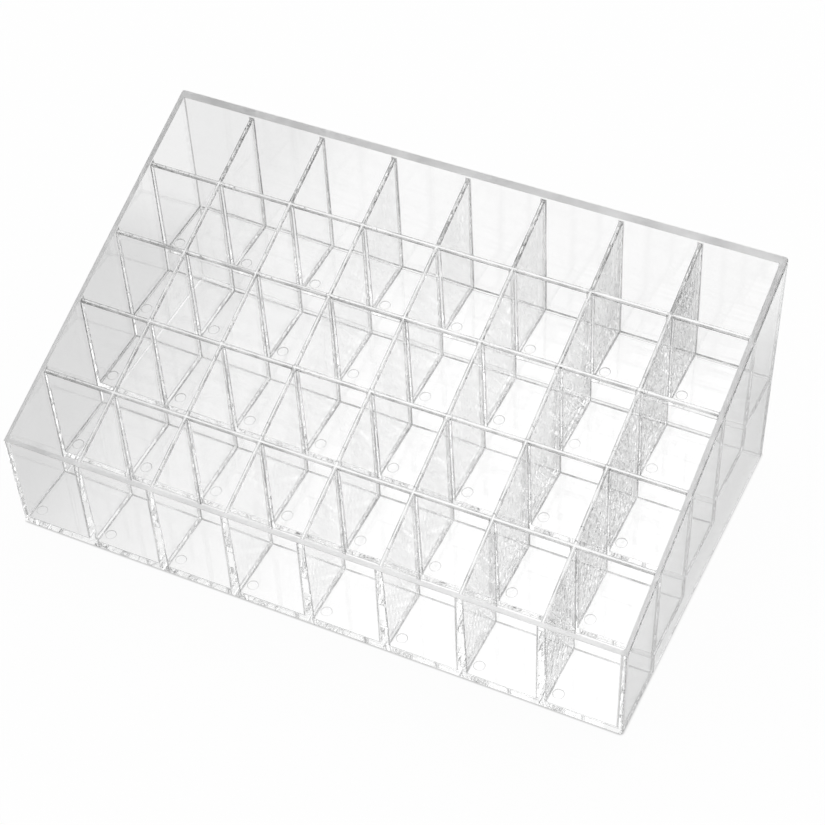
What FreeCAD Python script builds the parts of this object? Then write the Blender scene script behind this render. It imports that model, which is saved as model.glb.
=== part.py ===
import FreeCAD, Part
import os
import Sketcher

from FreeCAD import Placement, Rotation, Vector

# Clear lipstick organizer: a stepped tray of 5 rows by 8 columns of upright slots.
# Millimetres, +Z up, +Y towards the back, origin at the middle of the footprint on the table.

COLUMNS = 8
ROWS = 5

# Driving dimensions
SIZES = [
    ("width", 225.0, "outer width along the back rim"),
    ("depth", 134.0, "outer depth from front rim to back rim"),
    ("front_height", 41.1, "height of the front rim"),
    ("back_height", 91.4, "height of the back rim"),
    ("draft_angle", 0.84, "lean of every moulded wall, in degrees"),
    ("side_wall", 2.3, "thickness of a side wall at the rim"),
    ("front_wall", 1.5, "thickness of the front wall at the rim"),
    ("back_wall", 2.6, "thickness of the back wall at the rim"),
    ("divider", 1.5, "thickness of a divider along its top edge"),
    ("divider_recess", 1.0, "drop from the rim to the top edges of the dividers"),
    ("floor_plate", 2.0, "thickness of each slot floor"),
    ("second_floor", 9.8, "height of the second row's floor"),
    ("row_rise", 9.9, "rise of each floor behind the second over the one before it"),
    ("corner_radius", 1.0, "radius on the four upright outer edges"),
    ("mark_radius", 2.0, "radius of the round ejector mark in each slot"),
    ("mark_sink", 0.15, "depth of the ejector mark"),
    ("mark_side", 4.0, "ejector mark's centre from the slot's left divider line"),
    ("mark_front", 6.0, "ejector mark's centre from the slot's front divider line"),
]

doc = FreeCAD.newDocument("lipstick_organizer")
sheet = doc.addObject("Spreadsheet::Sheet", "sizes")
for line, (alias, value, meaning) in enumerate(SIZES, start=1):
    sheet.set(f"A{line}", meaning)
    sheet.set(f"B{line}", str(value))
    sheet.setAlias(f"B{line}", alias)
doc.recompute()

# Places that follow from the driving dimensions, as expressions
LEAN = "tan(sizes.draft_angle)"
LEFT = "(-sizes.width / 2)"
FRONT = "(-sizes.depth / 2)"
BACK = "(sizes.depth / 2)"
MIDDLE_HEIGHT = "((sizes.front_height + sizes.back_height) / 2)"
RISE = "(sizes.back_height - sizes.front_height)"
COLUMN_PITCH = f"((sizes.width - 2 * sizes.side_wall + sizes.divider) / {COLUMNS})"
ROW_PITCH = f"((sizes.depth - sizes.front_wall - sizes.back_wall + sizes.divider) / {ROWS})"
SLOPE_LENGTH = f"(hypot(sizes.depth; {RISE}) + 4 * sizes.side_wall)"


def rim_height(y):
    """Height of the sloping rim plane above a place along Y."""
    return f"({MIDDLE_HEIGHT} + {RISE} * ({y}) / sizes.depth)"


def divider_height(y):
    """Height of the plane that the dividers' top edges lie on."""
    return f"({rim_height(y)} - sizes.divider_recess)"


def column_line(number):
    """X of a column divider's middle; 0 and COLUMNS are the lines of the side walls."""
    return f"({LEFT} + sizes.side_wall - sizes.divider / 2 + {number} * {COLUMN_PITCH})"


def row_line(number):
    """Y of a row divider's middle; 0 and ROWS are the lines of the front and back walls."""
    return f"({FRONT} + sizes.front_wall - sizes.divider / 2 + {number} * {ROW_PITCH})"


def floor_top(row):
    """Height of a row's slot floor; the first row's floor plate lies on the table."""
    if row == 1:
        return "sizes.floor_plate"
    return f"(sizes.second_floor + {row - 2} * sizes.row_rise)"


def divider_front(number, z):
    """Y of a row divider's leaning front face at a height."""
    edge = f"({row_line(number)} - sizes.divider / 2)"
    return f"({edge} - {LEAN} * ({divider_height(edge)} - {z}))"


def divider_back(number, z):
    """Y of a row divider's leaning back face at a height."""
    edge = f"({row_line(number)} + sizes.divider / 2)"
    return f"({edge} + {LEAN} * ({divider_height(edge)} - {z}))"


def riser_back(number):
    """Y of the upright back face that a row divider has below the floor behind it."""
    return divider_back(number, f"({floor_top(number + 1)} - sizes.floor_plate)")


def corner_guess(index, count):
    """A start point for one corner of an outline before its constraints place it."""
    angle = 360.0 * index / count
    return Rotation(Vector(0, 0, 1), angle).multVec(Vector(10, 0, 0))


def draw_outline(sketch, corners):
    """Closed outline whose corners are tied to pairs of expressions."""
    count = len(corners)
    guesses = [corner_guess(index, count) for index in range(count)]
    for index in range(count):
        sketch.addGeometry(Part.LineSegment(guesses[index], guesses[(index + 1) % count]), False)
    for index in range(count):
        sketch.addConstraint(Sketcher.Constraint("Coincident", index, 2, (index + 1) % count, 1))
    for index, (across, up) in enumerate(corners):
        for kind, letter, expression in (("DistanceX", "u", across), ("DistanceY", "v", up)):
            start = guesses[index].x if letter == "u" else guesses[index].y
            number = sketch.addConstraint(Sketcher.Constraint(kind, -1, 1, index, 1, start))
            sketch.renameConstraint(number, f"{letter}{index}")
            sketch.setExpression(f"Constraints.{letter}{index}", expression)


def body_plane(body, role):
    """One of a body's own origin planes or axes."""
    return [feature for feature in body.Origin.OriginFeatures if feature.Role == role][0]


def body_sketch(body, name, role, corners=()):
    """Sketch on one of a body's origin planes."""
    sketch = body.newObject("Sketcher::SketchObject", name)
    sketch.AttachmentSupport = [(body_plane(body, role), "")]
    sketch.MapMode = "FlatFace"
    if corners:
        draw_outline(sketch, corners)
    return sketch


def side_outline_body(name, corners, length):
    """Body padded equally to both sides along X from an outline in the YZ plane."""
    body = doc.addObject("PartDesign::Body", name)
    sketch = body_sketch(body, f"{name}_outline", "YZ_Plane", corners)
    pad = body.newObject("PartDesign::Pad", f"{name}_pad")
    pad.Profile = sketch
    pad.Midplane = True
    pad.setExpression("Length", length)
    return body


def sloping_bar(name, corners):
    """Bar whose section in the XZ plane runs along the slope of the rim."""
    sketch = doc.addObject("Sketcher::SketchObject", f"{name}_section")
    sketch.Placement = Placement(Vector(0, 0, 0), Rotation(Vector(1, 0, 0), 90))
    draw_outline(sketch, corners)
    bar = doc.addObject("Part::Extrusion", name)
    bar.Base = sketch
    bar.DirMode = "Custom"
    bar.Solid = True
    bar.Symmetric = True
    bar.setExpression("Dir.x", "0")
    bar.setExpression("Dir.y", "sizes.depth")
    bar.setExpression("Dir.z", RISE)
    bar.setExpression("LengthFwd", SLOPE_LENGTH)
    return bar


def combine(kind, name, base, tool):
    """Part::Common or Part::Cut of two objects."""
    result = doc.addObject(kind, name)
    result.Base = base
    result.Tool = tool
    result.Refine = True
    return result


def gather(name, members):
    """Compound of several objects, used as one cutting tool."""
    compound = doc.addObject("Part::Compound", name)
    compound.Links = members
    return compound


# The whole outer form: a tapered block with rounded upright edges, cut along the sloping rim
outer_form = doc.addObject("PartDesign::Body", "outer_form")
foot_side = f"(sizes.width / 2 - {LEAN} * sizes.back_height)"
foot_front = f"({FRONT} + {LEAN} * sizes.front_height)"
foot_back = f"({BACK} - {LEAN} * sizes.back_height)"
foot = body_sketch(outer_form, "foot_outline", "XY_Plane", [
    (f"-{foot_side}", foot_front),
    (foot_side, foot_front),
    (foot_side, foot_back),
    (f"-{foot_side}", foot_back),
])
block = outer_form.newObject("PartDesign::Pad", "tapered_block")
block.Profile = foot
block.setExpression("Length", "sizes.back_height + sizes.front_height")
block.setExpression("TaperAngle", "sizes.draft_angle")
doc.recompute()

upright_edges = [
    f"Edge{number}"
    for number, edge in enumerate(block.Shape.Edges, start=1)
    if abs(edge.tangentAt(edge.FirstParameter).z) > 0.9
]
rounding = outer_form.newObject("PartDesign::Fillet", "upright_rounding")
rounding.Base = (block, upright_edges)
rounding.setExpression("Radius", "sizes.corner_radius")

beyond_front = f"({FRONT} - sizes.front_height)"
beyond_back = f"({BACK} + sizes.front_height)"
above_block = "(2 * sizes.back_height + sizes.front_height)"
slope_outline = body_sketch(outer_form, "slope_outline", "YZ_Plane", [
    (beyond_front, rim_height(beyond_front)),
    (beyond_back, rim_height(beyond_back)),
    (beyond_back, above_block),
    (beyond_front, above_block),
])
slope_cut = outer_form.newObject("PartDesign::Pocket", "slope_cut")
slope_cut.Profile = slope_outline
slope_cut.Midplane = True
slope_cut.setExpression("Length", "2 * sizes.width")
outer_form.Tip = slope_cut

# Side walls: the strip of the outer form outside a leaning face, and its mirror image
bar_bottom = f"(-{RISE} / 2 - sizes.floor_plate)"
bar_top = f"({MIDDLE_HEIGHT} + sizes.side_wall)"
outside_left = f"({LEFT} - sizes.side_wall)"


def side_wall_inside(z):
    """X of the left side wall's leaning inner face, in the section at mid-depth."""
    return f"({LEFT} + sizes.side_wall + {LEAN} * ({MIDDLE_HEIGHT} - {z}))"


left_strip = sloping_bar("left_strip", [
    (outside_left, bar_bottom),
    (side_wall_inside(bar_bottom), bar_bottom),
    (side_wall_inside(bar_top), bar_top),
    (outside_left, bar_top),
])
left_side_wall = combine("Part::Common", "left_side_wall", outer_form, left_strip)
right_side_wall = doc.addObject("Part::Mirroring", "right_side_wall")
right_side_wall.Source = left_side_wall
right_side_wall.Base = Vector(0, 0, 0)
right_side_wall.Normal = Vector(1, 0, 0)
side_walls = gather("side_walls", [left_side_wall, right_side_wall])

# What is left of the outer form between the side walls; everything else is taken out of this
inner_form = combine("Part::Cut", "inner_form", outer_form, side_walls)
across = "sizes.width"
below_table = "(-sizes.floor_plate)"
above_rim = "(sizes.back_height + sizes.side_wall)"


def front_wall_inside(z):
    """Y of the front wall's leaning inner face at a height."""
    return f"({FRONT} + sizes.front_wall + {LEAN} * (sizes.front_height - {z}))"


def back_wall_inside(z):
    """Y of the back wall's leaning inner face at a height."""
    return f"({BACK} - sizes.back_wall - {LEAN} * (sizes.back_height - {z}))"


# Front and back walls, between the side walls
front_strip = side_outline_body("front_strip", [
    (beyond_front, below_table),
    (front_wall_inside(below_table), below_table),
    (front_wall_inside(above_rim), above_rim),
    (beyond_front, above_rim),
], across)
back_strip = side_outline_body("back_strip", [
    (back_wall_inside(below_table), below_table),
    (beyond_back, below_table),
    (beyond_back, above_rim),
    (back_wall_inside(above_rim), above_rim),
], across)
front_wall = combine("Part::Common", "front_wall", inner_form, front_strip)
back_wall = combine("Part::Common", "back_wall", inner_form, back_strip)

# Column divider blanks: sloping bars trimmed to the outline between the stepped floors and the top
mid_front_wall = f"({FRONT} + sizes.front_wall / 2)"
mid_back_wall = f"({BACK} - sizes.back_wall / 2)"
steps = []
for row in range(1, ROWS + 1):
    begin = mid_front_wall if row == 1 else row_line(row - 1)
    end = mid_back_wall if row == ROWS else row_line(row)
    steps += [(begin, floor_top(row)), (end, floor_top(row))]
column_outline = side_outline_body("column_outline", steps + [
    (mid_back_wall, divider_height(mid_back_wall)),
    (mid_front_wall, divider_height(mid_front_wall)),
], across)
column_space = combine("Part::Common", "column_space", column_outline, inner_form)


def column_half_width(z):
    """Half of a column divider's thickness in the section at mid-depth."""
    return f"(sizes.divider / 2 + {LEAN} * ({divider_height('0')} - {z}))"


column_blanks = []
for number in range(1, COLUMNS):
    middle = column_line(number)
    bar = sloping_bar(f"column_bar_{number}", [
        (f"({middle} - {column_half_width(bar_bottom)})", bar_bottom),
        (f"({middle} + {column_half_width(bar_bottom)})", bar_bottom),
        (f"({middle} + {column_half_width(bar_top)})", bar_top),
        (f"({middle} - {column_half_width(bar_top)})", bar_top),
    ])
    column_blanks.append(combine("Part::Common", f"column_blank_{number}", bar, column_space))
column_set = gather("column_set", column_blanks)

# Row dividers: each stands on the floor in front of it and carries on down as the riser of the
# next step. Its upper half is notched where the column dividers drop over it.
row_dividers = []
for number in range(1, ROWS):
    middle = row_line(number)
    front_edge = f"({middle} - sizes.divider / 2)"
    back_edge = f"({middle} + sizes.divider / 2)"
    foot_height = floor_top(number)
    under_next = f"({floor_top(number + 1)} - sizes.floor_plate)"
    blank = side_outline_body(f"row_blank_{number}", [
        (divider_front(number, foot_height), foot_height),
        (riser_back(number), foot_height),
        (riser_back(number), under_next),
        (back_edge, divider_height(back_edge)),
        (front_edge, divider_height(front_edge)),
    ], across)
    lap = doc.addObject("Part::Box", f"lap_space_{number}")
    lap_height = f"(({floor_top(number + 1)} + {divider_height(middle)}) / 2)"
    lap.setExpression("Length", across)
    lap.setExpression("Width", f"{ROW_PITCH} / 2")
    lap.setExpression("Height", "sizes.back_height")
    lap.setExpression("Placement.Base.x", f"-{across} / 2")
    lap.setExpression("Placement.Base.y", f"{middle} - {ROW_PITCH} / 4")
    lap.setExpression("Placement.Base.z", lap_height)
    lap_columns = combine("Part::Common", f"lap_columns_{number}", column_set, lap)
    fitted = combine("Part::Common", f"row_plate_{number}", blank, inner_form)
    row_dividers.append(combine("Part::Cut", f"row_divider_{number}", fitted, lap_columns))

# Column dividers, notched from below over the row dividers
column_trimming = gather("column_trimming", [front_wall, back_wall] + row_dividers)
column_dividers = [
    combine("Part::Cut", f"column_divider_{number}", blank, column_trimming)
    for number, blank in enumerate(column_blanks, start=1)
]

# Slot floors, each with a row of shallow round ejector marks
slot_floors = []
for row in range(1, ROWS + 1):
    begin = mid_front_wall if row == 1 else row_line(row - 1)
    end = mid_back_wall if row == ROWS else riser_back(row)
    underside = f"({floor_top(row)} - sizes.floor_plate)"
    plate = side_outline_body(f"floor_plate_{row}", [
        (begin, underside),
        (end, underside),
        (end, floor_top(row)),
        (begin, floor_top(row)),
    ], across)
    mark = body_sketch(plate, f"mark_outline_{row}", "XY_Plane")
    mark.setExpression("AttachmentOffset.Base.z", floor_top(row))
    mark.addGeometry(Part.Circle(Vector(0, 0, 0), Vector(0, 0, 1), 1), False)
    for kind, name, ends, expression in (
        ("Radius", "size", (0,), "sizes.mark_radius"),
        ("DistanceX", "side", (-1, 1, 0, 3), f"{column_line(0)} + sizes.mark_side"),
        ("DistanceY", "place", (-1, 1, 0, 3), f"{row_line(row - 1)} + sizes.mark_front"),
    ):
        index = mark.addConstraint(Sketcher.Constraint(kind, *ends, 1.0))
        mark.renameConstraint(index, name)
        mark.setExpression(f"Constraints.{name}", expression)
    sinking = plate.newObject("PartDesign::Pocket", f"mark_{row}")
    sinking.Profile = mark
    sinking.setExpression("Length", "sizes.mark_sink")
    doc.recompute()
    marks = plate.newObject("PartDesign::LinearPattern", f"marks_{row}")
    marks.Originals = [sinking]
    marks.Direction = (body_plane(plate, "X_Axis"), [""])
    marks.Occurrences = COLUMNS
    marks.setExpression("Length", f"{COLUMN_PITCH} * {COLUMNS - 1}")
    plate.Tip = marks
    fitted = combine("Part::Common", f"fitted_floor_{row}", plate, inner_form)
    neighbours = [front_wall if row == 1 else row_dividers[row - 2]]
    if row == ROWS:
        neighbours.append(back_wall)
    trimming = gather(f"floor_trimming_{row}", neighbours)
    slot_floors.append(combine("Part::Cut", f"slot_floor_row_{row}", fitted, trimming))

doc.recompute()

SUB_PARTS = [front_wall, back_wall, left_side_wall, right_side_wall]
SUB_PARTS += slot_floors + row_dividers + column_dividers
for piece in SUB_PARTS:
    piece.Label = piece.Name

# Nothing is written unless every object is sound
for item in doc.Objects:
    if "Invalid" in item.State or "Error" in item.State:
        raise RuntimeError(f"{item.Name} did not build: {item.State}")
for piece in SUB_PARTS:
    if piece.Shape.isNull() or not piece.Shape.isValid() or not piece.Shape.Solids:
        raise RuntimeError(f"{piece.Label} has no sound shape")
for row, (plate, piece) in enumerate(zip(range(1, ROWS + 1), slot_floors), start=1):
    sunk = doc.getObject(f"floor_plate_{row}_pad").Shape.Volume
    marked = doc.getObject(f"marks_{row}").Shape.Volume
    if marked >= sunk:
        raise RuntimeError(f"the ejector marks of row {row} cut nothing")

os.makedirs("parts", exist_ok=True)
for piece in SUB_PARTS:
    piece.Shape.exportStep(f"parts/{piece.Label}.step")
    box = piece.Shape.optimalBoundingBox()
    print(f"{piece.Label}: {len(piece.Shape.Solids)} solid, volume {piece.Shape.Volume:.1f},",
          f"x {box.XMin:.2f} {box.XMax:.2f} y {box.YMin:.2f} {box.YMax:.2f}",
          f"z {box.ZMin:.2f} {box.ZMax:.2f}")
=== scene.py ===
"""Clear stepped lipstick organizer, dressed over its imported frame."""

import logging
import math
from dataclasses import dataclass, field
from enum import Enum, IntEnum
from typing import Iterable

import bmesh
import bpy
from mathutils import Matrix, Vector
from mathutils.geometry import intersect_line_plane, intersect_plane_plane

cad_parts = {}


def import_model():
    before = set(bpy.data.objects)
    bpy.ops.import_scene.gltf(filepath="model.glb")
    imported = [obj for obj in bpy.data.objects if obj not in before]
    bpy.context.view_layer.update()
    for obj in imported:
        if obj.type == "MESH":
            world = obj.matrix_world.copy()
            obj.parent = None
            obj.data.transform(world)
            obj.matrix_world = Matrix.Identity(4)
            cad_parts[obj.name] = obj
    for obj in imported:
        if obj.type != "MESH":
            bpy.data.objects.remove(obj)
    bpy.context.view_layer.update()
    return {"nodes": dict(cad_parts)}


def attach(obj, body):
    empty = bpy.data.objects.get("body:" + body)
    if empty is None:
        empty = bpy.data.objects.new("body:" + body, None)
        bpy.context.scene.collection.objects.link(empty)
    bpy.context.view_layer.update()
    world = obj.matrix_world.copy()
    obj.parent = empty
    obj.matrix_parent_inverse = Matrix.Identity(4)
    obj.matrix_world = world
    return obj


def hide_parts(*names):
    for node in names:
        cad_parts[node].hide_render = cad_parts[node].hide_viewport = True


log = logging.getLogger("lipstick_organizer")

MM = 0.001
COLUMNS = 8
ROWS = 5

# How far off a plane, in metres, a corner still counts as lying in it
CUT_SNAP = 1e-7
IN_PLANE = 2e-6
NEAR_PLANE = 1e-5

# Faces that differ by less than the first are one flat face, and folds below the second
# are too blunt to be rounded
SEAM_ANGLE = 1e-3
BLUNT_ANGLE = math.radians(25)

# Blender's profile number for a rounding that is part of a circle
ROUND_PROFILE = 0.5

# How often light is followed through or off the clear walls
CLEAR_BOUNCES = 96


class Side(Enum):
    """The four sides of a slot, seen from the front."""

    LEFT = "left"
    RIGHT = "right"
    FRONT = "front"
    BACK = "back"


class Finish(IntEnum):
    """The surfaces of the tray, numbered as its material slots."""

    CLEAR = 0
    CUT_EDGE = 1
    SATIN_RIM = 2
    DULLED_EDGE = 3


@dataclass(frozen=True)
class Plane:
    """An endless flat face.

    Attributes:
        point: Any point of the face.
        normal: Direction across the face.
    """

    point: Vector
    normal: Vector

    def side_of(self, place: Vector) -> float:
        """Signed distance of a place from the face."""
        return (place - self.point).dot(self.normal.normalized())


def level(height: float) -> Plane:
    """Level face at a height."""
    return Plane(Vector((0, 0, height)), Vector((0, 0, 1)))


def meeting_point(first: Plane, second: Plane, third: Plane) -> Vector:
    """Finds the one point that three faces share.

    Args:
        first: One face.
        second: A face that crosses it.
        third: A face that crosses their common line.

    Returns:
        The shared point.
    """
    start, along = intersect_plane_plane(
        first.point, first.normal, second.point, second.normal
    )
    return intersect_line_plane(start, start + along, third.point, third.normal)


def linear_color(code: str) -> tuple[float, float, float, float]:
    """Turns an sRGB hex colour to the linear values that shaders take.

    Args:
        code: Six hex digits, such as "f4f7f8".

    Returns:
        Linear red, green and blue, and an alpha of 1.
    """
    channels = [int(code[place : place + 2], 16) / 255 for place in (0, 2, 4)]
    linear = [
        c / 12.92 if c <= 0.04045 else ((c + 0.055) / 1.055) ** 2.4 for c in channels
    ]
    return (linear[0], linear[1], linear[2], 1.0)


def add_node(
    tree: bpy.types.NodeTree,
    kind: str,
    settings: dict[str | int, object] | None = None,
    links: dict[str | int, bpy.types.NodeSocket] | None = None,
) -> bpy.types.Node:
    """Adds one node with its settings and incoming links.

    Args:
        tree: Tree that gets the node.
        kind: Blender's name for the node's kind.
        settings: Input names or numbers, or node properties, with their values.
        links: Input names or numbers, with the output each is fed by.

    Returns:
        The new node.
    """
    node = tree.nodes.new(kind)
    for name, value in (settings or {}).items():
        if isinstance(name, str) and hasattr(node, name):
            setattr(node, name, value)
        else:
            node.inputs[name].default_value = value
    for name, source in (links or {}).items():
        tree.links.new(source, node.inputs[name])
    return node


@dataclass(frozen=True)
class MouldedPolystyrene:
    """Clear crystal polystyrene, injection-moulded in a polished tool.

    It is water-clear and bends light more than glass does, so walls nearly vanish face on
    and their edges turn into dark and bright lines. Its tint wanders a little between two
    tones in upright patches, as the melt left them when it flowed into the walls.

    Attributes:
        name: The material's name.
        color: Lighter tone.
        dark_color: Darker tone.
        patch_mm: Width of a patch.
        stretch: How fast the tint changes upright, as a share of how fast it does sideways.
        patch_ends: Noise values at which the lighter and the darker tone are reached.
        patch_detail: Finer levels of noise within a patch.
        ior: Index of refraction.
        roughness: Blur of what is seen through and in the surface.
    """

    name: str = "clear_moulded_polystyrene"
    color: str = "ffffff"
    dark_color: str = "fefefe"
    patch_mm: float = 7.0
    stretch: float = 0.3
    patch_ends: tuple[float, float] = (0.35, 0.65)
    patch_detail: float = 2.0
    ior: float = 1.59
    roughness: float = 0.0

    def make(self) -> bpy.types.Material:
        """Builds the material.

        Returns:
            The new material.
        """
        material = bpy.data.materials.new(self.name)
        material.use_nodes = True
        tree = material.node_tree
        tree.nodes.clear()
        place = add_node(tree, "ShaderNodeTexCoord")
        upright = add_node(
            tree,
            "ShaderNodeMapping",
            {"Scale": (1.0, 1.0, self.stretch)},
            {"Vector": place.outputs["Object"]},
        )
        patches = add_node(
            tree,
            "ShaderNodeTexNoise",
            {"Scale": 1 / (self.patch_mm * MM), "Detail": self.patch_detail},
            {"Vector": upright.outputs["Vector"]},
        )
        spread = add_node(
            tree,
            "ShaderNodeMapRange",
            {"From Min": self.patch_ends[0], "From Max": self.patch_ends[1]},
            {"Value": patches.outputs["Fac"]},
        )
        tone = add_node(
            tree,
            "ShaderNodeMix",
            {
                "data_type": "RGBA",
                6: linear_color(self.color),
                7: linear_color(self.dark_color),
            },
            {"Factor": spread.outputs[0]},
        )
        plastic = add_node(
            tree,
            "ShaderNodeBsdfPrincipled",
            {
                "Roughness": self.roughness,
                "IOR": self.ior,
                "Transmission Weight": 1.0,
            },
            {"Base Color": tone.outputs[2]},
        )
        add_node(
            tree,
            "ShaderNodeOutputMaterial",
            links={"Surface": plastic.outputs["BSDF"]},
        )
        return material


FINISHES: dict[Finish, MouldedPolystyrene] = {
    # Polished faces: nearly invisible face on, with clean reflections at a slant
    Finish.CLEAR: MouldedPolystyrene(),
    # Roundings, tinted grey as painted shade for the light they lose sideways: thin grey
    # lines with brighter gaps
    Finish.CUT_EDGE: MouldedPolystyrene(
        name="edge_shade_polystyrene", color="d4d4d4", dark_color="8c8c8c"
    ),
    # The satin rim where the tool parts, tinted as painted shade: a soft light grey band
    # without glints
    Finish.SATIN_RIM: MouldedPolystyrene(
        name="satin_shaded_rim_polystyrene",
        color="e8e8e8",
        dark_color="d8d8d8",
        roughness=0.3,
    ),
    # Roundings tinted darker as painted shade: darker lines along the row dividers'
    # tops, the base and the foot of the front wall
    Finish.DULLED_EDGE: MouldedPolystyrene(
        name="dark_edge_shade_polystyrene", color="b8b8b8", dark_color="808080"
    ),
}


@dataclass
class SlottedTray:
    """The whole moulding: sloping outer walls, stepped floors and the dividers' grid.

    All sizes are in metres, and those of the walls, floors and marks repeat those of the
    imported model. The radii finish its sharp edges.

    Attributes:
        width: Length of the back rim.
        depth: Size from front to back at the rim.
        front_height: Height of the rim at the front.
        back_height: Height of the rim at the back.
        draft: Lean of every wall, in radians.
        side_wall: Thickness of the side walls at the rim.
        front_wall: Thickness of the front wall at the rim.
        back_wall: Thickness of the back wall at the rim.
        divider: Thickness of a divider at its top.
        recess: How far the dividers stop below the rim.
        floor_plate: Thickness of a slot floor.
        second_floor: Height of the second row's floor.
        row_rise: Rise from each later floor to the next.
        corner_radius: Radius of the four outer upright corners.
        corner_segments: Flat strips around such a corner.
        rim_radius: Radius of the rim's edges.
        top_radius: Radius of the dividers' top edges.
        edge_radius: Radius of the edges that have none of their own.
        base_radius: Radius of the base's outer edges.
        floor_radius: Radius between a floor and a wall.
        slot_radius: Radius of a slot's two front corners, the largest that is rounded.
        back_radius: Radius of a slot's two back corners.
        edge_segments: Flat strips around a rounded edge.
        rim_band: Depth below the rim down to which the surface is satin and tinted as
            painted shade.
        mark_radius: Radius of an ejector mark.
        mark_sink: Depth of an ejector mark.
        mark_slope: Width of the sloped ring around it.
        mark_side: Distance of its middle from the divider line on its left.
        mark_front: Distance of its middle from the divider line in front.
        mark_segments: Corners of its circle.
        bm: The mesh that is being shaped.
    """

    width: float = 225.0 * MM
    depth: float = 134.0 * MM
    front_height: float = 41.1 * MM
    back_height: float = 91.4 * MM
    draft: float = math.radians(0.84)
    side_wall: float = 2.3 * MM
    front_wall: float = 1.5 * MM
    back_wall: float = 2.6 * MM
    divider: float = 1.5 * MM
    recess: float = 1.0 * MM
    floor_plate: float = 2.0 * MM
    second_floor: float = 9.8 * MM
    row_rise: float = 9.9 * MM
    corner_radius: float = 1.0 * MM
    corner_segments: int = 6
    rim_radius: float = 0.12 * MM
    top_radius: float = 0.6 * MM
    edge_radius: float = 0.3 * MM
    base_radius: float = 0.25 * MM
    floor_radius: float = 0.5 * MM
    slot_radius: float = 0.85 * MM
    back_radius: float = 0.4 * MM
    edge_segments: int = 4
    rim_band: float = 0.35 * MM
    mark_radius: float = 2.0 * MM
    mark_sink: float = 0.15 * MM
    mark_slope: float = 0.25 * MM
    mark_side: float = 4.0 * MM
    mark_front: float = 6.0 * MM
    mark_segments: int = 32
    bm: bmesh.types.BMesh = field(default_factory=bmesh.new)

    @property
    def lean(self) -> float:
        """Sideways lean of a wall per metre of its height."""
        return math.tan(self.draft)

    @property
    def slope(self) -> float:
        """Rise of the rim per metre towards the back."""
        return (self.back_height - self.front_height) / self.depth

    def rim_height(self, y: float) -> float:
        """Height of the sloping rim at a place along Y."""
        return (self.front_height + self.back_height) / 2 + self.slope * y

    def floor_height(self, row: int) -> float:
        """Height of a row's slot floor; rows count from 1 at the front."""
        if row == 1:
            return self.floor_plate
        return self.second_floor + (row - 2) * self.row_rise

    def column_line(self, number: int) -> float:
        """X of a column divider's middle; 0 and 8 are the lines of the side walls."""
        pitch = (self.width - 2 * self.side_wall + self.divider) / COLUMNS
        return -self.width / 2 + self.side_wall - self.divider / 2 + number * pitch

    def row_line(self, number: int) -> float:
        """Y of a row divider's middle; 0 and 5 are the lines of the end walls."""
        inside = self.depth - self.front_wall - self.back_wall
        pitch = (inside + self.divider) / ROWS
        return -self.depth / 2 + self.front_wall - self.divider / 2 + number * pitch

    def slope_plane(self, drop: float) -> Plane:
        """Finds the sloping plane a drop below the rim.

        Args:
            drop: 0 for the rim itself, the recess for the dividers' tops.

        Returns:
            The plane, facing up.
        """
        return Plane(
            Vector((0, 0, self.rim_height(0) - drop)), Vector((0, -self.slope, 1))
        )

    def across_face(self, x: float, towards: int, drop: float) -> Plane:
        """Finds the leaning face of a side wall or a column divider.

        Args:
            x: Where the face meets the rim plane, or the plane a drop below it.
            towards: 1 for a face that looks to the right, -1 for one to the left.
            drop: Distance of that plane below the rim.

        Returns:
            The face's plane.
        """
        return Plane(
            Vector((x, 0, self.rim_height(0) - drop)),
            Vector((towards, -self.lean * self.slope, self.lean)),
        )

    def along_face(self, y: float, towards: int, drop: float) -> Plane:
        """Finds the leaning face of an end wall or a row divider.

        Args:
            y: Where the face meets the rim plane, or the plane a drop below it.
            towards: 1 for a face that looks to the back, -1 for one to the front.
            drop: Distance of that plane below the rim.

        Returns:
            The face's plane.
        """
        return Plane(
            Vector((0, y, self.rim_height(y) - drop)),
            Vector((0, towards, self.lean)),
        )

    def slot_face(self, side: Side, line: int) -> Plane:
        """Finds the inner face on one side of a slot.

        Args:
            side: Which side of the slot.
            line: Number of the divider line there.

        Returns:
            The face's plane.
        """
        half = self.divider / 2
        if side is Side.LEFT:
            drop = 0 if line == 0 else self.recess
            return self.across_face(self.column_line(line) + half, 1, drop)
        if side is Side.RIGHT:
            drop = 0 if line == COLUMNS else self.recess
            return self.across_face(self.column_line(line) - half, -1, drop)
        if side is Side.FRONT and line == 0:
            inner = -self.depth / 2 + self.front_wall
            return Plane(
                Vector((0, inner, self.front_height)), Vector((0, 1, self.lean))
            )
        if side is Side.BACK and line == ROWS:
            inner = self.depth / 2 - self.back_wall
            return Plane(
                Vector((0, inner, self.back_height)), Vector((0, -1, self.lean))
            )
        if side is Side.FRONT:
            return self.along_face(self.row_line(line) + half, 1, self.recess)
        return self.along_face(self.row_line(line) - half, -1, self.recess)

    def slot_faces(self, row: int, column: int) -> tuple[Plane, Plane, Plane, Plane]:
        """Finds the four walls of a slot, looking into it.

        Args:
            row: Row of the slot, from the front.
            column: Column of the slot, from the left.

        Returns:
            Its left, right, front and back face.
        """
        return (
            self.slot_face(Side.LEFT, column - 1),
            self.slot_face(Side.RIGHT, column),
            self.slot_face(Side.FRONT, row - 1),
            self.slot_face(Side.BACK, row),
        )

    def wall_faces(self) -> tuple[Plane, Plane, Plane, Plane]:
        """Inner faces of the left, right, front and back outer wall."""
        left, _, front, _ = self.slot_faces(1, 1)
        _, right, _, back = self.slot_faces(ROWS, COLUMNS)
        return left, right, front, back

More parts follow.
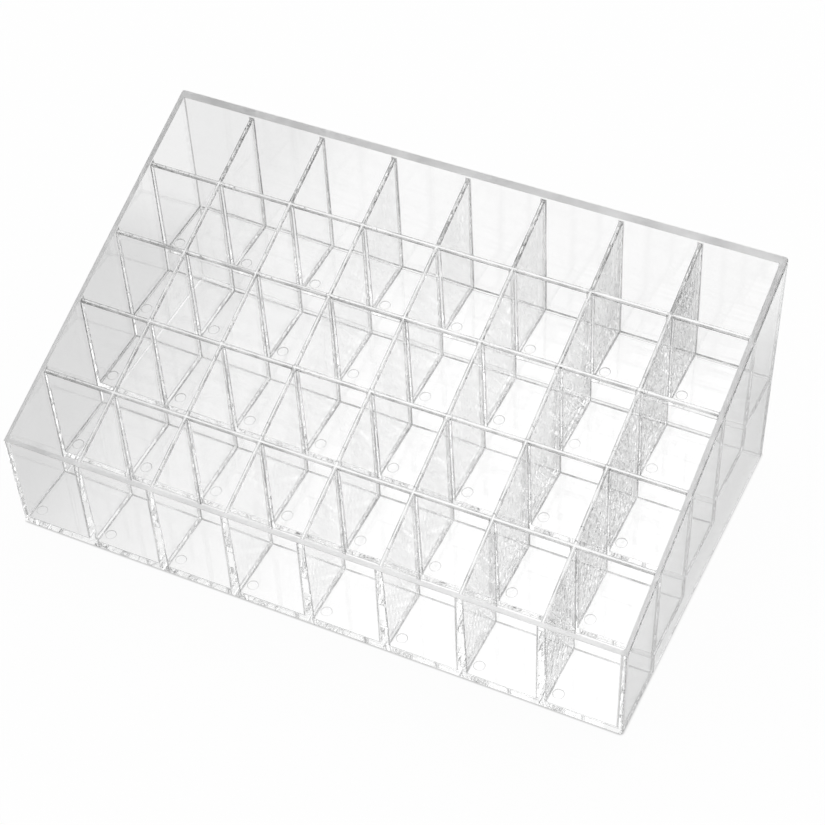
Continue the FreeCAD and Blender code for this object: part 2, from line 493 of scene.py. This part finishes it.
    def cut(self, faces: Iterable[bmesh.types.BMFace], plane: Plane) -> None:
        """Splits faces along a plane.

        Args:
            faces: Faces to split.
            plane: Where the new edges run.
        """
        chosen = list(faces)
        around = {edge for face in chosen for edge in face.edges}
        corners = {vert for face in chosen for vert in face.verts}
        bmesh.ops.bisect_plane(
            self.bm,
            geom=[*chosen, *around, *corners],
            dist=CUT_SNAP,
            plane_co=plane.point,
            plane_no=plane.normal,
        )

    def faces_in(
        self, plane: Plane, inside: Iterable[Plane] = ()
    ) -> list[bmesh.types.BMFace]:
        """Finds the faces that lie in a plane and in front of some others.

        Args:
            plane: Where the faces lie.
            inside: Planes that each face's middle has to be in front of.

        Returns:
            The faces found.
        """
        limits = list(inside)
        return [
            face
            for face in self.bm.faces
            if all(abs(plane.side_of(vert.co)) < IN_PLANE for vert in face.verts)
            and all(limit.side_of(face.calc_center_median()) > 0 for limit in limits)
        ]

    def push(self, faces: list[bmesh.types.BMFace]) -> list[bmesh.types.BMFace]:
        """Extrudes faces as one region without moving them yet.

        Args:
            faces: Faces of one region.

        Returns:
            The new end faces.
        """
        edges = {edge for face in faces for edge in face.edges}
        corners = {vert for face in faces for vert in face.verts}
        made = bmesh.ops.extrude_face_region(self.bm, geom=[*faces, *edges, *corners])
        return [item for item in made["geom"] if isinstance(item, bmesh.types.BMFace)]

    def build_outer_block(self) -> None:
        """Makes the leaning outer block, its sloping top and its rounded corners."""
        foot = Vector(
            (self.width / 2 - self.lean * self.back_height, self.depth / 2, 0)
        )
        bmesh.ops.create_cube(self.bm, size=2.0)
        for vert in self.bm.verts:
            top = vert.co.z > 0
            height = self.back_height if vert.co.y > 0 else self.front_height
            half = foot.x + self.lean * height if top else foot.x
            length = foot.y if top else foot.y - self.lean * height
            vert.co = Vector(
                (
                    math.copysign(half, vert.co.x),
                    math.copysign(length, vert.co.y),
                    height if top else 0,
                )
            )
        upright = [
            edge
            for edge in self.bm.edges
            if abs(edge.verts[0].co.z - edge.verts[1].co.z) > self.front_height / 2
        ]
        bmesh.ops.bevel(
            self.bm,
            geom=upright,
            offset=self.corner_radius,
            offset_type="OFFSET",
            segments=self.corner_segments,
            profile=ROUND_PROFILE,
            affect="EDGES",
            material=-1,
        )

    def sink_the_mouth(self) -> None:
        """Lowers the inner part of the top so that the rim stands above the dividers."""
        rim = self.slope_plane(0)
        walls = self.wall_faces()
        for wall in walls:
            self.cut(self.faces_in(rim), wall)
        mouth = self.push(self.faces_in(rim, walls))
        tops = self.slope_plane(self.recess)
        left, right, front, back = walls
        for vert in {vert for face in mouth for vert in face.verts}:
            across = left if vert.co.x < 0 else right
            along = front if vert.co.y < 0 else back
            vert.co = meeting_point(across, along, tops)

    def cut_the_slots(self) -> None:
        """Marks out the slots' mouths and sinks each one to its own floor."""
        tops = self.slope_plane(self.recess)
        for number in range(1, COLUMNS):
            for side in (Side.LEFT, Side.RIGHT):
                self.cut(self.faces_in(tops), self.slot_face(side, number))
        for number in range(1, ROWS):
            for side in (Side.FRONT, Side.BACK):
                self.cut(self.faces_in(tops), self.slot_face(side, number))
        for row in range(1, ROWS + 1):
            for column in range(1, COLUMNS + 1):
                self.sink_slot(tops, row, column)

    def sink_slot(self, tops: Plane, row: int, column: int) -> None:
        """Sinks one slot to its floor along its leaning walls.

        Args:
            tops: Plane of the slot's mouth.
            row: Row of the slot, from the front.
            column: Column of the slot, from the left.
        """
        left, right, front, back = self.slot_faces(row, column)
        mouth = self.faces_in(tops, (left, right, front, back))
        middle = mouth[0].calc_center_median()
        floor = level(self.floor_height(row))
        for vert in {vert for face in self.push(mouth) for vert in face.verts}:
            across = left if vert.co.x < middle.x else right
            along = front if vert.co.y < middle.y else back
            vert.co = meeting_point(across, along, floor)

    def riser_back(self, number: int) -> Plane:
        """Finds the upright back face of the step under a row divider.

        Args:
            number: Number of the row divider.

        Returns:
            The face's plane, facing the back.
        """
        underside = self.floor_height(number + 1) - self.floor_plate
        slanted = self.slot_face(Side.FRONT, number)
        middle = Plane(Vector(), Vector((1, 0, 0)))
        place = meeting_point(slanted, level(underside), middle)
        return Plane(place, Vector((0, 1, 0)))

    def hollow_the_underside(self) -> None:
        """Opens the space under the raised floors, one step at a time."""
        left, right, _, back = self.wall_faces()
        height = 0.0
        for number in range(1, ROWS):
            riser = self.riser_back(number)
            ceiling = level(height)
            self.cut(self.faces_in(ceiling), riser)
            if number == 1:
                for wall in (left, right, back):
                    self.cut(self.faces_in(ceiling), wall)
            ends = self.push(self.faces_in(ceiling, (left, right, back, riser)))
            height = self.floor_height(number + 1) - self.floor_plate
            for vert in {vert for face in ends for vert in face.verts}:
                across = left if vert.co.x < 0 else right
                along = riser if abs(riser.side_of(vert.co)) < IN_PLANE else back
                vert.co = meeting_point(across, along, level(height))

    def press_marks(self) -> None:
        """Sinks the round mark of an ejector pin into each slot floor."""
        for row in range(1, ROWS + 1):
            height = self.floor_height(row)
            for column in range(1, COLUMNS + 1):
                face = self.faces_in(level(height), self.slot_faces(row, column))[0]
                x = self.column_line(column - 1) + self.mark_side
                y = self.row_line(row - 1) + self.mark_front
                self.press_mark(face, Vector((x, y, height)))

    def press_mark(self, face: bmesh.types.BMFace, middle: Vector) -> None:
        """Sinks one round mark into a floor.

        Args:
            face: The slot's floor.
            middle: Centre of the mark on it.
        """
        outline = list(face.edges)
        bmesh.ops.delete(self.bm, geom=[face], context="FACES_ONLY")
        ring = bmesh.ops.create_circle(
            self.bm,
            cap_ends=False,
            radius=self.mark_radius,
            segments=self.mark_segments,
            matrix=Matrix.Translation(middle),
        )["verts"]
        circle = list({edge for vert in ring for edge in vert.link_edges})
        bmesh.ops.triangle_fill(
            self.bm,
            use_beauty=True,
            use_dissolve=False,
            edges=outline + circle,
            normal=(0, 0, 1),
        )
        sunk = bmesh.ops.extrude_edge_only(self.bm, edges=circle)["geom"]
        lowered = [item for item in sunk if isinstance(item, bmesh.types.BMVert)]
        bmesh.ops.translate(self.bm, verts=lowered, vec=(0, 0, -self.mark_sink))
        bmesh.ops.scale(
            self.bm,
            vec=Vector.Fill(3, 1 - self.mark_slope / self.mark_radius),
            space=Matrix.Translation(-middle),
            verts=lowered,
        )
        # The mark's sloped ring gets the grey painted edge shade
        for item in sunk:
            if isinstance(item, bmesh.types.BMFace):
                item.material_index = Finish.CUT_EDGE
        rim = [item for item in sunk if isinstance(item, bmesh.types.BMEdge)]
        bmesh.ops.edgeloop_fill(
            self.bm, edges=[edge for edge in rim if len(edge.link_faces) == 1]
        )

    def radius_of(self, edge: bmesh.types.BMEdge) -> float:
        """Tells how round an edge is.

        Args:
            edge: Any edge of the crisp moulding.

        Returns:
            Its radius. It is 0 for blunt folds and for the hollow's lower edges.
        """
        if edge.calc_face_angle(0) < BLUNT_ANGLE:
            return 0.0
        if max(vert.co.z for vert in edge.verts) < IN_PLANE:
            return self.base_radius if self.on_outside(edge) else 0.0
        if edge.is_convex:
            return self.convex_radius(edge)
        return self.concave_radius(edge)

    def convex_radius(self, edge: bmesh.types.BMEdge) -> float:
        """Tells how round an edge is that sticks out.

        Args:
            edge: A convex edge above the base.

        Returns:
            Its radius.
        """
        tops = self.slope_plane(self.recess)
        heights = [tops.side_of(vert.co) for vert in edge.verts]
        if max(map(abs, heights)) < NEAR_PLANE:
            return self.top_radius
        if min(heights) > self.recess / 2:
            return self.rim_radius
        return self.edge_radius

    def concave_radius(self, edge: bmesh.types.BMEdge) -> float:
        """Tells how round an inner edge is.

        Args:
            edge: A concave edge above the base.

        Returns:
            Its radius, by whether it runs along a slot's floor, up one of a slot's corners
            or elsewhere.
        """
        first, second = (vert.co for vert in edge.verts)
        low, high = sorted((first.z, second.z))
        middle = (first + second) / 2
        row = sum(middle.y > self.row_line(number) for number in range(1, ROWS)) + 1
        floor = self.floor_height(row)
        if low < floor - NEAR_PLANE:
            return self.edge_radius
        if high < floor + NEAR_PLANE:
            return self.floor_radius
        if (first - second).xy.length < high - low:
            centre = (self.row_line(row - 1) + self.row_line(row)) / 2
            return self.slot_radius if middle.y < centre else self.back_radius
        return self.edge_radius

    def on_outside(self, edge: bmesh.types.BMEdge) -> bool:
        """Tells whether an edge of the base runs along the tray's outside.

        Args:
            edge: An edge of the base.

        Returns:
            True for the outer outline, False for the hollow's edges.
        """
        middle = (edge.verts[0].co + edge.verts[1].co) / 2
        side = self.width / 2 - self.lean * self.back_height - self.corner_radius
        end = self.depth / 2 - 2 * self.corner_radius
        return abs(middle.x) > side or abs(middle.y) > end

    def merge_flat_faces(self) -> None:
        """Joins the strips of each wall that lie in one plane, but no level faces."""
        nearly_level = 0.9
        level_faces = {
            face for face in self.bm.faces if abs(face.normal.z) > nearly_level
        }
        seams = [
            edge
            for edge in self.bm.edges
            if edge.calc_face_angle(1) < SEAM_ANGLE
            and not level_faces.intersection(edge.link_faces)
        ]
        bmesh.ops.dissolve_edges(
            self.bm, edges=seams, use_verts=True, use_face_split=False
        )

    def soften_edges(self) -> None:
        """Rounds the crisp edges, the slots' front corners the most."""
        bmesh.ops.recalc_face_normals(self.bm, faces=self.bm.faces)
        self.merge_flat_faces()
        self.bm.normal_update()
        weight = self.bm.edges.layers.float.new("bevel_weight_edge")
        for edge in self.bm.edges:
            edge[weight] = self.radius_of(edge) / self.slot_radius
        crisp = bpy.data.meshes.new("crisp_tray")
        self.bm.to_mesh(crisp)
        # The bevel marks its faces with a finish only if the mesh has slots for it
        for _ in (Finish.CLEAR, Finish.CUT_EDGE):
            crisp.materials.append(None)
        thing = bpy.data.objects.new("crisp_tray", crisp)
        bpy.context.scene.collection.objects.link(thing)
        bevel = thing.modifiers.new("edges", "BEVEL")
        bevel.limit_method = "WEIGHT"
        bevel.width = self.slot_radius
        bevel.segments = self.edge_segments
        bevel.profile = ROUND_PROFILE
        bevel.affect = "EDGES"
        # The roundings get the grey painted edge shade
        bevel.material = Finish.CUT_EDGE
        bevel.use_clamp_overlap = True
        graph = bpy.context.evaluated_depsgraph_get()
        rounded = bpy.data.meshes.new_from_object(thing.evaluated_get(graph))
        self.bm.clear()
        self.bm.from_mesh(rounded)
        bpy.data.objects.remove(thing)
        for mesh in (crisp, rounded):
            bpy.data.meshes.remove(mesh)

    def finish_of(self, face: bpy.types.MeshPolygon) -> Finish:
        """Chooses the finish of one face of the rounded moulding.

        Args:
            face: Any face. Roundings and rings come marked with the grey painted edge
                shade.

        Returns:
            The finish that it gets.
        """
        rim = self.slope_plane(0)
        depth = -rim.side_of(face.center)
        facing = face.normal.dot(rim.normal.normalized())
        # Cosines of nearly upright, quite flat and quite face down
        upright, flat, face_down = 0.1, 0.999, -0.99
        # The rim band is satin, and its light grey tint is painted shade
        if depth < self.rim_band:
            return Finish.SATIN_RIM
        if upright < facing < flat and depth < self.recess + self.top_radius:
            return self.finish_of_top(face, facing)
        # The base's roundings and the front wall's foot get the darker painted shade
        if face.center.z < self.base_radius and face.normal.z > face_down:
            return Finish.DULLED_EDGE
        if face.material_index == Finish.CUT_EDGE and self.at_front_foot(face.center):
            return Finish.DULLED_EDGE
        return Finish(face.material_index)

    def finish_of_top(self, face: bpy.types.MeshPolygon, facing: float) -> Finish:
        """Chooses the finish of a strip of the rounding along a divider's top.

        A row divider shows two dark lines of painted shade and a column divider two thin
        grey ones.

        Args:
            face: The strip.
            facing: 1 for a strip that lies as the tops do, 0 for one at a right angle.

        Returns:
            The finish that it gets.
        """
        # Cosines of steep and of nearly flat
        shoulder, crown = 0.3, 0.9
        along_a_row = abs(face.normal.x) < shoulder
        if along_a_row:
            return Finish.DULLED_EDGE if facing < crown else Finish.CUT_EDGE
        return Finish.CUT_EDGE if shoulder < facing < crown else Finish.CLEAR

    def at_front_foot(self, place: Vector) -> bool:
        """Tells whether a place is where the first floor meets the front wall.

        Args:
            place: Middle of a face.

        Returns:
            True along that inner edge and on the uprights' lowest bit beside it.
        """
        inside = -self.depth / 2 + self.front_wall + self.lean * self.front_height
        low = place.z < self.floor_plate + self.floor_radius
        return low and place.y < inside + self.floor_radius

    def build(self) -> bpy.types.Object:
        """Builds the moulding and dresses it.

        Returns:
            The finished piece.
        """
        self.build_outer_block()
        self.sink_the_mouth()
        self.cut_the_slots()
        self.hollow_the_underside()
        self.soften_edges()
        self.press_marks()
        bmesh.ops.recalc_face_normals(self.bm, faces=self.bm.faces)
        open_edges = sum(not edge.is_manifold for edge in self.bm.edges)
        log.info("tray: %d faces, %d open edges", len(self.bm.faces), open_edges)
        mesh = bpy.data.meshes.new("slotted_tray")
        self.bm.to_mesh(mesh)
        self.bm.free()
        for finish in Finish:
            mesh.materials.append(FINISHES[finish].make())
        for face in mesh.polygons:
            face.material_index = self.finish_of(face)
        piece = bpy.data.objects.new("slotted_tray", mesh)
        bpy.context.scene.collection.objects.link(piece)
        return piece


@dataclass(frozen=True)
class WhiteSweep:
    """Matt white paper floor that glows, so that it is as white as the backdrop.

    The eye gets plain white with a thin painted contact shadow where the tray touches it.
    The tray's own reflections and refractions get a painted pool of light that is brightest
    behind its right half and dimmer beside it, with painted shade there, which draws the
    walls in greys.

    Attributes:
        color: Colour of the paper.
        glow_share: Share of the glow in what is seen of the paper; the rest is lit paper
            and keeps the tray's shadow.
        pool_middle: X and Y of the pool's middle.
        pool_squeeze: Its reach sideways divided by its reach towards the back.
        pool_inner: Reach of its bright middle.
        pool_outer: Where its glow is down to that of the edge.
        pool_end: Where the glow is down to that far off.
        pool_peak: Glow in the middle.
        pool_edge: Glow at the edge.
        pool_far: Share of the edge's glow that is left far off.
        behind: Y at which the glow behind the tray starts to turn even, and is even.
        behind_glow: The even glow there.
        right_reach: Half the width that the shade on the right is laid out over.
        right_shade: X and glow of the points between which that shade runs.
        right_fade: Y at which that shade starts to fade towards the back, and is gone.
        left_side: X at which the floor's left part is dimmest, and no longer dim.
        left_glow: Its glow there.
        touch_reach: Width of the painted contact shadow.
        touch_open: Share of open sky at the tray's foot, where that shadow is darkest.
        touch_glow: Glow of the painted contact shadow at its darkest.
        touch_samples: Samples that the painted contact shadow is worked out from.
    """

    color: str = "ffffff"
    glow_share: float = 0.97
    pool_middle: tuple[float, float] = (0.07, 0.08)
    pool_squeeze: float = 0.6
    pool_inner: float = 0.07
    pool_outer: float = 0.25
    pool_end: float = 0.6
    pool_peak: float = 1.08
    pool_edge: float = 0.74
    pool_far: float = 0.2
    behind: tuple[float, float] = (0.075, 0.105)
    behind_glow: float = 0.98
    right_reach: float = 0.25
    right_shade: tuple[tuple[float, float], ...] = (
        (0.1103, 1.0),
        (0.1112, 0.5),
        (0.14, 0.55),
        (0.22, 1.0),
    )
    right_fade: tuple[float, float] = (0.09, 0.15)
    left_side: tuple[float, float] = (-0.125, -0.085)
    left_glow: float = 0.88
    touch_reach: float = 0.7 * MM
    touch_open: float = 0.5
    touch_glow: float = 0.6
    touch_samples: int = 32

    def add_pool(
        self,
        tree: bpy.types.NodeTree,
        place: bpy.types.NodeSocket,
        y: bpy.types.NodeSocket,
    ) -> bpy.types.NodeSocket:
        """Adds the pool of light behind the tray.

        Args:
            tree: The paper's tree.
            place: The floor's own coordinates.
            y: Their Y.

        Returns:
            The pool's glow.
        """
        offset = add_node(
            tree,
            "ShaderNodeVectorMath",
            {
                "operation": "MULTIPLY_ADD",
                1: (1.0, self.pool_squeeze, 0.0),
                2: (
                    -self.pool_middle[0],
                    -self.pool_middle[1] * self.pool_squeeze,
                    0.0,
                ),
            },
            {0: place},
        )
        reach = add_node(
            tree,
            "ShaderNodeVectorMath",
            {"operation": "LENGTH"},
            {0: offset.outputs["Vector"]},
        )
        near = add_node(
            tree,
            "ShaderNodeMapRange",
            {
                "interpolation_type": "SMOOTHSTEP",
                "From Min": self.pool_inner,
                "From Max": self.pool_outer,
                "To Min": self.pool_peak,
                "To Max": self.pool_edge,
            },
            {"Value": reach.outputs["Value"]},
        )
        far = add_node(
            tree,
            "ShaderNodeMapRange",
            {
                "interpolation_type": "SMOOTHSTEP",
                "From Min": self.pool_outer,
                "From Max": self.pool_end,
                "To Min": 1.0,
                "To Max": self.pool_far,
            },
            {"Value": reach.outputs["Value"]},
        )
        behind = add_node(
            tree,
            "ShaderNodeMapRange",
            {"From Min": self.behind[0], "From Max": self.behind[1]},
            {"Value": y},
        )
        evened = add_node(
            tree,
            "ShaderNodeMix",
            {"data_type": "FLOAT", "B": self.behind_glow},
            {"Factor": behind.outputs[0], "A": near.outputs[0]},
        )
        pool = add_node(
            tree,
            "ShaderNodeMath",
            {"operation": "MULTIPLY"},
            {0: evened.outputs[0], 1: far.outputs[0]},
        )
        return pool.outputs[0]

    def add_shade(
        self,
        tree: bpy.types.NodeTree,
        x: bpy.types.NodeSocket,
        y: bpy.types.NodeSocket,
    ) -> bpy.types.NodeSocket:
        """Adds the shade on the floor to the right and to the left of the tray.

        Args:
            tree: The paper's tree.
            x: X of the floor's own coordinates.
            y: Y of the same.

        Returns:
            The factor by which the shade dims the pool.
        """
        across = add_node(
            tree,
            "ShaderNodeMapRange",
            {"From Min": -self.right_reach, "From Max": self.right_reach},
            {"Value": x},
        )
        right = add_node(tree, "ShaderNodeValToRGB", links={0: across.outputs[0]})
        ramp = right.color_ramp
        ramp.elements.remove(ramp.elements[1])
        for number, (spot_x, glow) in enumerate(self.right_shade):
            spot = (spot_x + self.right_reach) / (2 * self.right_reach)
            stop = ramp.elements.new(spot) if number else ramp.elements[0]
            stop.position = spot
            stop.color = (glow, glow, glow, 1.0)
        fade = add_node(
            tree,
            "ShaderNodeMapRange",
            {"From Min": self.right_fade[0], "From Max": self.right_fade[1]},
            {"Value": y},
        )
        faded = add_node(
            tree,
            "ShaderNodeMix",
            {"data_type": "FLOAT", "B": 1.0},
            {"Factor": fade.outputs[0], "A": right.outputs[0]},
        )
        left = add_node(
            tree,
            "ShaderNodeMapRange",
            {
                "From Min": self.left_side[0],
                "From Max": self.left_side[1],
                "To Min": self.left_glow,
            },
            {"Value": x},
        )
        shade = add_node(
            tree,
            "ShaderNodeMath",
            {"operation": "MULTIPLY"},
            {0: faded.outputs[0], 1: left.outputs[0]},
        )
        return shade.outputs[0]

    def add_painted_contact_shadow(self, tree: bpy.types.NodeTree) -> bpy.types.NodeSocket:
        """Adds the painted contact shadow, a thin dark line where the tray stands on the
        paper.

        Args:
            tree: The paper's tree.

        Returns:
            The paper's glow as the eye sees it.
        """
        touch = add_node(
            tree,
            "ShaderNodeAmbientOcclusion",
            {"Distance": self.touch_reach, "samples": self.touch_samples},
        )
        line = add_node(
            tree,
            "ShaderNodeMapRange",
            {
                "From Min": self.touch_open,
                "From Max": 1.0,
                "To Min": self.touch_glow,
            },
            {"Value": touch.outputs["AO"]},
        )
        return line.outputs[0]

    def make(self) -> bpy.types.Material:
        """Builds the material.

        Returns:
            The new material.
        """
        material = bpy.data.materials.new("white_sweep")
        material.use_nodes = True
        tree = material.node_tree
        tree.nodes.clear()
        rays = add_node(tree, "ShaderNodeLightPath")
        through_the_tray = add_node(
            tree,
            "ShaderNodeMath",
            {"operation": "MAXIMUM"},
            {0: rays.outputs["Is Glossy Ray"], 1: rays.outputs["Is Transmission Ray"]},
        )
        seen = add_node(
            tree,
            "ShaderNodeMath",
            {"operation": "MAXIMUM"},
            {0: rays.outputs["Is Camera Ray"], 1: through_the_tray.outputs[0]},
        )
        share = add_node(
            tree,
            "ShaderNodeMath",
            {"operation": "MULTIPLY", 1: self.glow_share},
            {0: seen.outputs[0]},
        )
        place = add_node(tree, "ShaderNodeTexCoord").outputs["Object"]
        where = add_node(tree, "ShaderNodeSeparateXYZ", links={0: place})
        x, y = where.outputs["X"], where.outputs["Y"]
        pool = add_node(
            tree,
            "ShaderNodeMath",
            {"operation": "MULTIPLY"},
            {0: self.add_pool(tree, place, y), 1: self.add_shade(tree, x, y)},
        )
        strength = add_node(
            tree,
            "ShaderNodeMix",
            {"data_type": "FLOAT"},
            {
                "Factor": rays.outputs["Is Camera Ray"],
                "A": pool.outputs[0],
                "B": self.add_painted_contact_shadow(tree),
            },
        )
        paper = add_node(
            tree, "ShaderNodeBsdfDiffuse", {"Color": linear_color(self.color)}
        )
        glow = add_node(
            tree, "ShaderNodeEmission", links={"Strength": strength.outputs[0]}
        )
        mixed = add_node(
            tree,
            "ShaderNodeMixShader",
            links={0: share.outputs[0], 1: paper.outputs[0], 2: glow.outputs[0]},
        )
        add_node(
            tree, "ShaderNodeOutputMaterial", links={"Surface": mixed.outputs[0]}
        )
        return material


@dataclass(frozen=True)
class SoftBox:
    """One square soft box.

    Attributes:
        name: The lamp's name.
        place: Where it hangs.
        watts: Its power.
        side: Length of its side.
    """

    name: str
    place: tuple[float, float, float]
    watts: float
    side: float = 2.0

    def hang(self, target: Vector) -> None:
        """Hangs the soft box and points it at a place.

        Args:
            target: What it points at.
        """
        lamp = bpy.data.lights.new(self.name, "AREA")
        lamp.shape = "SQUARE"
        lamp.size = self.side
        lamp.energy = self.watts
        thing = bpy.data.objects.new(self.name, lamp)
        bpy.context.scene.collection.objects.link(thing)
        place = Vector(self.place)
        turn = (target - place).to_track_quat("-Z", "Y").to_matrix().to_4x4()
        thing.matrix_world = Matrix.Translation(place) @ turn


@dataclass
class Studio:
    """Floor, surroundings, lamps and camera.

    Attributes:
        floor_side: Length of the square floor's side.
        floor_gap: Drop of the floor below the tray, so that their faces don't coincide.
        backdrop: Direction of the bright backdrop.
        backdrop_edge: Cosines from that direction at which the backdrop starts to
            appear and is full.
        backdrop_glow: Glow of the backdrop.
        sky_glow: Glow of the dim rest of the studio. The eye itself sees plain white.
        lamp_target: What the lamps point at.
        lamps: The soft boxes.
        surround_color: Colour of the backdrop and of the studio around it.
        camera_place: Where the photograph was taken from.
        camera_right: Direction of the photograph's right.
        camera_up: Direction of its top.
        focal_pixels: Focal length in pixels of the photograph.
        photo_side: Width of the photograph in pixels.
        sensor: Width of the camera's sensor in millimetres.
        clip_start: Nearest distance that the camera sees.
    """

    floor_side: float = 6.0
    floor_gap: float = 0.3 * MM
    backdrop: tuple[float, float, float] = (-0.3, 0.61, 0.73)
    backdrop_edge: tuple[float, float] = (0.7, 0.9)
    backdrop_glow: float = 1.0
    sky_glow: float = 0.2
    lamp_target: tuple[float, float, float] = (0, 0, 0.03)
    lamps: tuple[SoftBox, ...] = (
        SoftBox("key_box", (0.6, 0.5, 1.5), 12.0),
        SoftBox("fill_box", (-1.0, -0.6, 1.2), 6.0),
    )
    surround_color: str = "ffffff"
    camera_place: tuple[float, float, float] = (0.2494, -0.45734, 0.57976)
    camera_right: tuple[float, float, float] = (0.901496, 0.431111, -0.038051)
    camera_up: tuple[float, float, float] = (-0.287954, 0.663121, 0.690907)
    focal_pixels: float = 2231.87
    photo_side: int = 825
    sensor: float = 36.0
    clip_start: float = 0.01

    def build_floor(self) -> None:
        """Lays the plain white floor, which keeps a faint shadow of the tray."""
        bm = bmesh.new()
        bmesh.ops.create_grid(
            bm,
            x_segments=1,
            y_segments=1,
            size=self.floor_side / 2,
            matrix=Matrix.Translation((0, 0, -self.floor_gap)),
        )
        mesh = bpy.data.meshes.new("floor")
        bm.to_mesh(mesh)
        bm.free()
        floor = bpy.data.objects.new("floor", mesh)
        bpy.context.scene.collection.objects.link(floor)
        mesh.materials.append(WhiteSweep().make())

    def build_world(self) -> None:
        """Surrounds the tray with a dim studio and a bright backdrop behind it."""
        world = bpy.data.worlds.new("studio")
        bpy.context.scene.world = world
        world.use_nodes = True
        tree = world.node_tree
        tree.nodes.clear()
        rays = add_node(tree, "ShaderNodeLightPath")
        place = add_node(tree, "ShaderNodeTexCoord")
        towards = add_node(
            tree,
            "ShaderNodeVectorMath",
            {"operation": "DOT_PRODUCT", 1: self.backdrop},
            {0: place.outputs["Generated"]},
        )
        fade = add_node(
            tree,
            "ShaderNodeMapRange",
            {
                "interpolation_type": "SMOOTHSTEP",
                "From Min": self.backdrop_edge[0],
                "From Max": self.backdrop_edge[1],
                "To Min": self.sky_glow,
                "To Max": self.backdrop_glow,
            },
            {"Value": towards.outputs["Value"]},
        )
        strength = add_node(
            tree,
            "ShaderNodeMath",
            {"operation": "MAXIMUM"},
            {0: fade.outputs[0], 1: rays.outputs["Is Camera Ray"]},
        )
        surround = add_node(
            tree,
            "ShaderNodeBackground",
            {"Color": linear_color(self.surround_color)},
            {"Strength": strength.outputs[0]},
        )
        add_node(
            tree, "ShaderNodeOutputWorld", links={"Surface": surround.outputs[0]}
        )

    def build_camera(self) -> None:
        """Sets the camera where the photograph's perspective puts it."""
        camera = bpy.data.cameras.new("camera")
        camera.sensor_width = self.sensor
        camera.sensor_fit = "AUTO"
        camera.lens = self.focal_pixels / self.photo_side * camera.sensor_width
        camera.clip_start = self.clip_start
        thing = bpy.data.objects.new("camera", camera)
        bpy.context.scene.collection.objects.link(thing)
        right = Vector(self.camera_right)
        up = Vector(self.camera_up)
        turn = Matrix((right, up, right.cross(up))).transposed()
        thing.matrix_world = Matrix.Translation(self.camera_place) @ turn.to_4x4()
        bpy.context.scene.camera = thing

    def build(self) -> None:
        """Builds the whole studio."""
        self.build_camera()
        self.build_floor()
        self.build_world()
        for lamp in self.lamps:
            lamp.hang(Vector(self.lamp_target))


def set_view(scene: bpy.types.Scene) -> None:
    """Keeps colours plain and lets light cross all the clear walls in its way.

    Args:
        scene: The scene to render.
    """
    scene.view_settings.view_transform = "Standard"
    scene.cycles.max_bounces = CLEAR_BOUNCES
    scene.cycles.transmission_bounces = CLEAR_BOUNCES
    scene.cycles.glossy_bounces = CLEAR_BOUNCES


def main() -> None:
    """Builds the tray and the studio, and logs what it built."""
    logging.basicConfig(level=logging.INFO, format="%(message)s")
    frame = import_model()
    tray = SlottedTray().build()
    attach(tray, "root")
    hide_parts(*frame["nodes"])
    log.info("built %s", tray.name)
    Studio().build()
    log.info("built the studio")
    set_view(bpy.context.scene)


if __name__ == "__main__":
    main()
